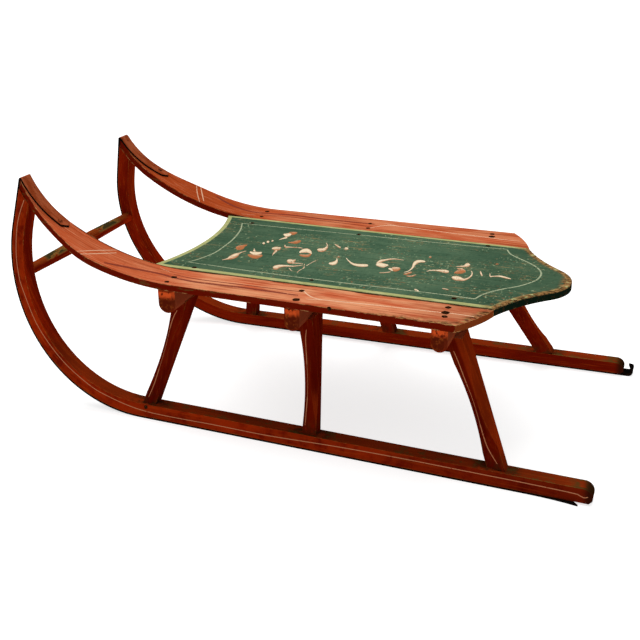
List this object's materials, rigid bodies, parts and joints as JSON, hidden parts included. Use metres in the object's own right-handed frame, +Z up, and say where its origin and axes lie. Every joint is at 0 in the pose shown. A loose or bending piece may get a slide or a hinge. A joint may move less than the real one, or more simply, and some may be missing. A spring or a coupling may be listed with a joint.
{
  "type": "child's snow sled",
  "caption": "Antique painted wooden child's snow sled: bent runners with iron shoes, splayed legs under cross-beams, a flat deck board between upswept side rails.",
  "frame": {"origin": "on the ground, under the middle of the sled", "axes": "+X forward, towards the upswept tips; +Y to the rider's left; +Z up"},
  "size_m": [0.8409, 0.4076, 0.315],
  "materials": {
    "red_paint": "old dark red oil paint on hardwood, worn at the arrises",
    "coral_paint": "faded coral red oil paint on hardwood, with dark red edges",
    "green_paint": "dark green oil paint on a softwood board, with an ochre border",
    "shoe_iron": "dark forged strip iron, dull and lightly rusted"
  },
  "bodies": {
    "root": {"runner_left": "red_paint", "shoe_left": "shoe_iron", "rail_left": "coral_paint", "leg_front_left": "red_paint", "leg_middle_left": "red_paint", "leg_rear_left": "red_paint", "runner_right": "red_paint", "shoe_right": "shoe_iron", "rail_right": "coral_paint", "leg_front_right": "red_paint", "leg_middle_right": "red_paint", "leg_rear_right": "red_paint", "beam_front": "red_paint", "beam_middle": "red_paint", "beam_rear": "red_paint", "deck_board": "green_paint", "crossbar_front": "red_paint"}
  },
  "joints": []
}
